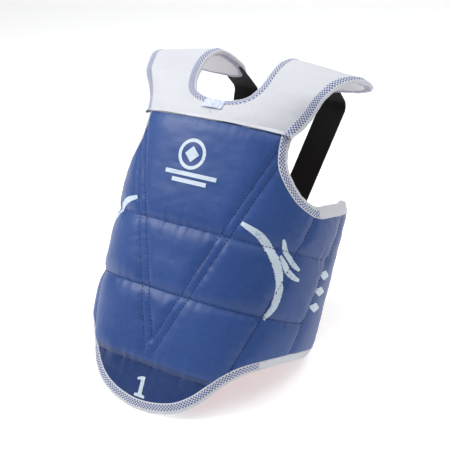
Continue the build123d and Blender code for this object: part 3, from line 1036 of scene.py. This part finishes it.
# ------------------------------------------------------------------ printed marks
@dataclass
class Prints:
    """Plain printed marks on the outer face: an emblem, brush strokes, lozenges and a numeral."""

    lift: float = 0.3
    fill: float = 2.6
    emblem: Pair = (-8.0, 360.0)
    bar: Pair = (-3.0, 329.0)
    numeral: Pair = (1.0, 29.5)
    numeral_scale: float = 1.22
    sweep: Tuple[Pair, ...] = ((88, 284), (120, 271), (146, 245), (161, 216), (162, 188), (152, 164))
    darts: Tuple[Tuple[Pair, ...], ...] = (
        ((150, 276), (160, 260), (176, 246), (188, 240)), ((152, 254), (164, 240), (178, 230), (192, 226)),
    )
    lozenges: Tuple[Pair, ...] = ((262, 240), (257, 216), (252, 192))
    lozenge_size: Pair = (17, 7.5)

    def stroke(self, path: Sequence[Pair], width: float, seed: float) -> Array:
        """Outline of a tapered brush stroke with ragged edges."""
        line = resample(smooth_path(path, 2.0), 1.6)
        along = np.gradient(line, axis=0)
        normal = np.column_stack([-along[:, 1], along[:, 0]]) / np.hypot(*along.T)[:, None]
        t = np.linspace(0, 1, len(line))
        body = width / 2 * np.sin(np.pi * np.clip(0.06 + 0.88 * t, 0, 1)) ** 0.55
        rough = [
            np.array([noise.noise(Vector((9 * k * 0.11, seed, side))) for k in range(len(line))])
            for side in (0, 7)
        ]
        left = line + (body * (1 + 0.35 * rough[0]))[:, None] * normal
        right = line - (body * (1 + 0.35 * rough[1]))[:, None] * normal
        return np.vstack([left, right[::-1]])

    def patch(self, face: Surface, loop: Array) -> Cloth:
        """A filled outline laid on the face."""
        low, high = loop.min(0), loop.max(0)
        us, vs = (np.arange(low[axis], high[axis], self.fill) for axis in (0, 1))
        net = np.array([(u, v) for u in us for v in vs])
        gap, _ = path_facts(net, np.vstack([loop, loop[:1]]))
        net = net[inside(net, loop) & (gap > 0.8)]
        spots = [Vector(p) for p in np.vstack([loop, net])]
        flat, _, faces, *_ = geometry.delaunay_2d_cdt(spots, [], [list(range(len(loop)))], 1, 1e-4)
        flat = np.array([tuple(p) for p in flat])
        faces = [tuple(f) if self.turn(flat[list(f)]) > 0 else tuple(f)[::-1] for f in faces]
        return Cloth(face.on_face(flat, self.lift), faces, flat)

    @staticmethod
    def turn(corners: Array) -> float:
        """Twice a triangle's signed area."""
        (a, b, c) = corners
        return float((b - a)[0] * (c - a)[1] - (b - a)[1] * (c - a)[0])

    def ring(self, face: Surface, centre: Pair, outer: float, inner: float) -> Cloth:
        """A flat ring laid on the face."""
        count, rows = 64, 4
        radii = np.linspace(outer, inner, rows)
        flat = np.vstack([arc_points(centre, radius, 0, 360, count + 1)[:-1] for radius in radii])
        return Cloth(face.on_face(flat, self.lift), quads(rows, count, closed=True), flat)

    @staticmethod
    def box(centre: Pair, size: Pair, step: float = 2.0) -> Array:
        """Outline of a bar."""
        (x, y), (w, h) = centre, size
        corners = [(-w / 2, -h / 2), (w / 2, -h / 2), (w / 2, h / 2), (-w / 2, h / 2), (-w / 2, -h / 2)]
        return resample(np.array([(x + a, y + b) for a, b in corners]), step)[:-1]

    def dress(self, face: Surface, finishes: Finishes, folds: Folds) -> None:
        """Makes every mark and splits it at the folds; see QuiltedPanel.dress()."""
        marks = {"emblem_ring": [self.ring(face, self.emblem, 22.0, 17.0)]}
        lozenge = arc_points(self.emblem, 11.5, 0, 360, 5)
        marks["emblem_lozenge"] = [self.patch(face, resample(lozenge, 1.8)[:-1])]
        marks["emblem_bars"] = [
            self.patch(face, self.box((self.bar[0] + dx, self.bar[1] + dy), (w, 6.0)))
            for dx, dy, w in ((0, 2.5, 84.0), (0, -7.5, 56.0))
        ]
        x, y = self.numeral
        one = [
            (-7, -12), (7, -12), (7, -9), (2.6, -8), (2.6, 12), (-1.4, 12),
            (-7.5, 9), (-7.5, 6.6), (-2.4, 7.6), (-2.4, -8), (-7, -9),
        ]
        one = self.numeral_scale * np.array(one + one[:1], float) + [x, y]
        marks["numeral"] = [self.patch(face, resample(one, 1.3)[:-1])]
        for side in Side:
            flip = np.array([side.value, 1])
            strokes = [self.stroke(self.sweep, 13.0, 1.0)]
            strokes += [self.stroke(dart, 9.0, 2.0 + n) for n, dart in enumerate(self.darts)]
            marks[f"strokes_{side.word}"] = [self.patch(face, loop * flip) for loop in strokes]
            shape = arc_points((0, 0), 1, 0, 360, 5) * self.lozenge_size
            loops = [resample(np.array(centre) + shape, 1.8)[:-1] for centre in self.lozenges]
            marks[f"lozenges_{side.word}"] = [self.patch(face, loop * flip) for loop in loops]
        for name, cloths in marks.items():
            folds.share(name, joined(cloths), finishes.ink, "blue_cover")


def joined(cloths: Sequence[Cloth]) -> Cloth:
    """Several meshes as one."""
    faces, base = [], 0
    for cloth in cloths:
        faces += [tuple(base + i for i in f) for f in cloth.faces]
        base += len(cloth.points)
    flat = np.vstack([c.flat for c in cloths])
    return Cloth(np.vstack([c.points for c in cloths]), faces, flat)


# ------------------------------------------------------------------ the yoke and the shoulder pieces
@dataclass
class Yoke:
    """The white sheet over the shoulders: yoke, two shoulder pieces, lining and edge tape."""

    pitch: float = 3.2
    rim: Pair = (2.4, 6.0)
    hem_drop: float = 5.0
    blend_rise: float = 84.0
    slope: float = 0.13
    level_half: float = 50.0
    foot_half: float = 119.0
    label_half: float = 16.0
    label_span: Pair = (13.0, 28.0)
    edge: Optional[Array] = None
    neck_path: Optional[Array] = None
    arm_path: Optional[Array] = None
    face: Optional[Surface] = None
    lines: List[Array] = field(default_factory=list)

    def build(self) -> None:
        """Works out the outline and the padded surface."""
        neck = self.along(smooth_path(mirrored(np.array(SHEET.neck, float)), 2.0))
        neck = neck[len(neck) // 2 :]
        tip = self.along(smooth_path(np.array(SHEET.tip, float), 2.0))
        arm = self.along(smooth_path(np.array(SHEET.arm, float), 2.0))
        foot = np.array([[self.foot_half, 0.0], [self.foot_half, -self.hem_drop]])
        half = np.vstack([neck, tip[1:], arm[1:], foot])
        self.neck_path, self.arm_path = neck, np.vstack([tip, arm[1:]])
        self.edge = mirrored(half)
        base = np.array([[-self.foot_half, 0.0], [self.foot_half, 0.0]])
        self.lines = [np.array([[0.0, 2.0], [0.0, 26.0]])]
        seams = [Seam(path, 1.6, 6.0, 0.4, 2.0 + n) for n, path in enumerate(self.lines)]
        seams.append(Seam(base, 5.0, 9.0, 0.7, 8.0))
        rough = resample(self.edge[2:-2], 4.0)
        self.face = Surface(self.wrap, rough, self.edge, SHEET.thick, self.rim, seams, loft=0.6)

    @staticmethod
    def along(plan: Array) -> Array:
        """A path seen from above, with its Y turned into distance along the sheet."""
        grid = np.arange(-20.0, SHEET.rise + SHEET.arc[0] + SHEET.tail[0] + 10, 0.5)
        reach, _ = SHEET.profile(grid, np.full_like(grid, SHEET.thick / 2))
        return np.column_stack([plan[:, 0], np.interp(plan[:, 1], reach, grid)])

    def wrap(self, across: Array, along: Array, depth: Array) -> Array:
        """Upright places of flat points, easing into the panel's curve towards the yoke seam."""
        y, z = SHEET.profile(along, SHEET.thick - depth)
        ease = 1 - np.clip(along / self.blend_rise, 0, 1)
        ease = ease * ease * (3 - 2 * ease)
        girth = np.interp(np.abs(across), *self.plan_table())
        _, curve = PANEL.place(girth, np.zeros_like(girth))
        past = np.clip(np.abs(across) - self.level_half, 0, None)
        droop = self.slope * past * np.clip(along / SHEET.rise, 0, 1)
        return np.column_stack([across, y + curve * ease, z - droop])

    @staticmethod
    def plan_table() -> Tuple[Array, Array]:
        """X of the panel's outer face against girth."""
        girth = np.arange(0, 160.0, 2.0)
        x, _ = PANEL.place(girth, np.zeros_like(girth))
        return x, girth

    def dress(self, finishes: Finishes, folds: Folds) -> None:
        """Makes the white cover, the lining, the tape and the stitches; see QuiltedPanel.dress()."""
        flat, faces = self.face.grid(self.pitch)
        cover = Cloth(self.face.on_face(flat, 0.0), faces, flat)
        outer_nodes, inner_nodes = self.stands_for("cover", "foam"), self.stands_for("lining")
        made = folds.share_shoulders("white", cover, finishes.white, outer_nodes)
        lining = Cloth(self.face.on_face(flat, 0.0, True), [f[::-1] for f in faces], flat)
        made_in = folds.share_shoulders("lining", lining, finishes.lining, inner_nodes)
        tape = BoundEdge(band=10.0, roll=2.6, tape=0.7, checked_to=(400.0, 400.0))
        neck = tape.make(self.face, mirrored(self.neck_path))
        folds.share_shoulders("neck_tape", neck, finishes.checks, self.neck_nodes)
        for side in Side:
            arm = tape.make(self.face, self.arm_path * [side.value, 1])
            name, nodes = f"arm_tape_{side.word}", self.arm_nodes(side)
            folds.share_shoulders(name, arm, finishes.checks, nodes)
        stitches = StitchRow().make(self.face, self.lines)
        folds.share_shoulders("white_stitches", stitches, finishes.white)
        self.label(finishes, folds)

    def label(self, finishes: Finishes, folds: Folds) -> None:
        """Sews a small blank woven label over the neck tape; see QuiltedPanel.dress()."""
        across, along = np.linspace(-self.label_half, self.label_half, 17), np.linspace(*self.label_span, 9)
        flat = np.array([(u, v) for v in along for u in across])
        wide, curl = len(across), 0.5 * np.cos(flat[:, 0] / 5.0)
        outer, inner = (self.face.wrap(flat[:, 0], flat[:, 1], depth - curl) for depth in (-1.6, -1.0))
        front = quads(len(along), wide)
        count = len(flat)
        rim = list(range(wide)) + [r * wide + wide - 1 for r in range(1, len(along))]
        rim += [count - 1 - c for c in range(1, wide)] + [r * wide for r in range(len(along) - 2, 0, -1)]
        walls = [(b, a, count + a, count + b) for a, b in zip(rim, rim[1:] + rim[:1])]
        back = [tuple(count + i for i in reversed(quad)) for quad in front]
        cloth = Cloth(np.vstack([outer, inner]), front + back + walls)
        folds.share_shoulders("label", cloth, finishes.label, lambda part: ["neck_label"])

    @staticmethod
    def stands_for(*layers: str) -> Callable[[str], List[str]]:
        """The frame's nodes that a part of those layers stands for."""

        def nodes(part: str) -> List[str]:
            """The nodes of one part."""
            if part == "yoke":
                return [f"yoke_{layer}" for layer in layers]
            return [f"shoulder_{layer}_{part.split('_')[1]}" for layer in layers]

        return nodes

    @staticmethod
    def neck_nodes(part: str) -> List[str]:
        """The frame's nodes that the neck tape stands for."""
        return ["neck_binding"] if part == "yoke" else [f"shoulder_binding_{part.split('_')[1]}"]

    @staticmethod
    def arm_nodes(side: Side) -> Callable[[str], List[str]]:
        """The frame's nodes that the arm tape of a side stands for."""
        return lambda part: [f"{'yoke_arm' if part == 'yoke' else 'shoulder'}_binding_{side.word}"]


# ------------------------------------------------------------------ pieces kept as the frame has them
class Hardware:
    """The webbing and tapes, which keep the frame's shapes and only need their finishes."""

    def dress(self, finishes: Finishes) -> None:
        """Gives each node its material."""
        finish = {
            "strap": finishes.black, "cross_band": finishes.black, "join_patch": finishes.hook,
            "hook_tab": finishes.hook, "loop_patch": finishes.hook,
        }
        for name in frame["nodes"]:
            for start, material in finish.items():
                if name.startswith(start):
                    node = bpy.data.objects[name]
                    node.data.materials.clear()
                    node.data.materials.append(material)


# ------------------------------------------------------------------ the studio
@dataclass
class Studio:
    """Camera, floor and lights."""

    eye: Tuple[float, float, float] = (574.1, -950.5, 279.4)
    azimuth: float = 28.0
    elevation: float = 0.19
    roll: float = 14.15
    lens: float = 64.1

    def build(self) -> None:
        """Sets the camera, a pale sweep and soft lights."""
        az, el, roll = (math.radians(a) for a in (self.azimuth, self.elevation, self.roll))
        back = np.array([math.sin(az) * math.cos(el), -math.cos(az) * math.cos(el), math.sin(el)])
        right = np.array([math.cos(az), math.sin(az), 0.0])
        up = np.cross(back, right)
        across = math.cos(roll) * right + math.sin(roll) * up
        upward = -math.sin(roll) * right + math.cos(roll) * up
        columns = [PLACE.direction(v) for v in (across, upward, back)]
        camera = bpy.data.objects.new("camera", bpy.data.cameras.new("camera"))
        turned = Matrix(columns).transposed().to_4x4()
        camera.matrix_world = Matrix.Translation(PLACE.points(np.array([self.eye]))[0]) @ turned
        camera.data.lens, camera.data.sensor_width = self.lens, 36.0
        camera.data.clip_end = 50.0
        bpy.context.scene.collection.objects.link(camera)
        bpy.context.scene.camera = camera
        self.floor()
        self.light("key", (-1.1, -0.7, 1.55), 0.9, 25.0)
        self.light("top", (0.4, 0.1, 1.9), 1.4, 17.0)
        world = bpy.data.worlds.new("studio")
        world.use_nodes = True
        world.node_tree.nodes["Background"].inputs["Color"].default_value = (0.95, 0.97, 1.0, 1.0)
        world.node_tree.nodes["Background"].inputs["Strength"].default_value = 0.20
        bpy.context.scene.world = world
        bpy.context.scene.view_settings.view_transform = "Standard"

    def floor(self) -> None:
        """A pale floor that curves up behind the protector."""
        low = CAD_BOX[0][2]
        near, start, radius, top = -4.0, 2.2, 1.5, 6.0
        turn = np.radians(np.linspace(0, 90, 16))
        sweep = [(start + radius * math.sin(t), low + radius * (1 - math.cos(t))) for t in turn]
        line = [(near, low)] + sweep + [(start + radius, top)]
        points = [(x, y, z) for x in (-6.0, 6.0) for y, z in line]
        wide = len(line)
        faces = [(i, i + 1, wide + i + 1, wide + i) for i in range(wide - 1)]
        mesh = bpy.data.meshes.new("floor")
        mesh.from_pydata(points, [], faces)
        mesh.shade_smooth()
        paint = Paint("pale_floor")
        paint.set(Base_Color=(0.93, 0.93, 0.935, 1.0), Roughness=0.6)
        paint.set(Emission_Color=(1.0, 1.0, 1.0, 1.0), Emission_Strength=0.43)
        mesh.materials.append(paint.material)
        floor = bpy.data.objects.new("floor", mesh)
        bpy.context.scene.collection.objects.link(floor)

    @staticmethod
    def light(name: str, place: Tuple[float, float, float], size: float, power: float) -> None:
        """Adds a soft area light aimed at the protector."""
        data = bpy.data.lights.new(name, "AREA")
        data.energy, data.size = power, size
        lamp = bpy.data.objects.new(name, data)
        lamp.location = place
        lamp.rotation_euler = (Vector(place) - Vector((0, 0, 0.2))).to_track_quat("Z", "Y").to_euler()
        bpy.context.scene.collection.objects.link(lamp)


def main() -> None:
    """Builds the protector round its frame and lights it."""
    finishes, folds = Finishes(), Folds()
    Studio().build()
    log.info("studio")
    panel, yoke = QuiltedPanel(), Yoke()
    for name, assembly in (("quilted panel", panel), ("yoke and shoulders", yoke)):
        assembly.build()
        assembly.dress(finishes, folds)
        log.info(name)
    Prints().dress(panel.face, finishes, folds)
    log.info("printed marks")
    Hardware().dress(finishes)
    log.info("webbing and tapes")


if __name__ == "__main__":
    logging.basicConfig(level=logging.INFO, format="%(message)s")
    main()
